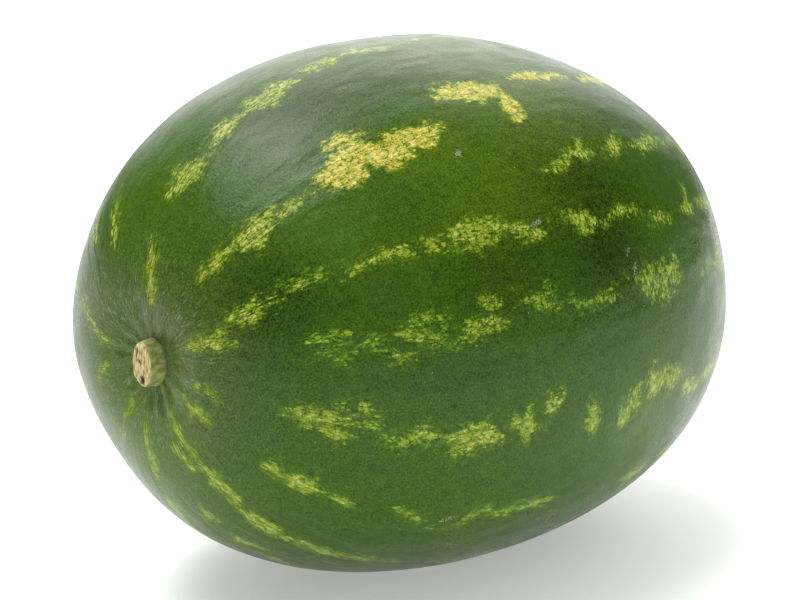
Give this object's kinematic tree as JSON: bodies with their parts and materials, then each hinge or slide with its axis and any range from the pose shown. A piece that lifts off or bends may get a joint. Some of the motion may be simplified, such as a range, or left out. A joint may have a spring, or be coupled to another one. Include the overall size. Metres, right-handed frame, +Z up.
{
  "type": "watermelon",
  "caption": "Whole oval watermelon lying on its side, dark green rind with broken yellow-green stripes and a short corky stem stub at one end.",
  "frame": {"origin": "on the surface the fruit rests on, below the middle of its bounding box", "axes": "+X along the fruit's long axis from the stem end to the blossom end, +Z up"},
  "size_m": [0.3082, 0.2236, 0.2152],
  "materials": {
    "rind": "smooth waxy rind, dark green with broken straw-yellow and lime-green stripes",
    "dry_stem": "dry corky stem end, pitted and rough, with an olive-green side"
  },
  "bodies": {
    "root": {"melon": "rind", "stem_stub": "dry_stem"}
  },
  "joints": []
}
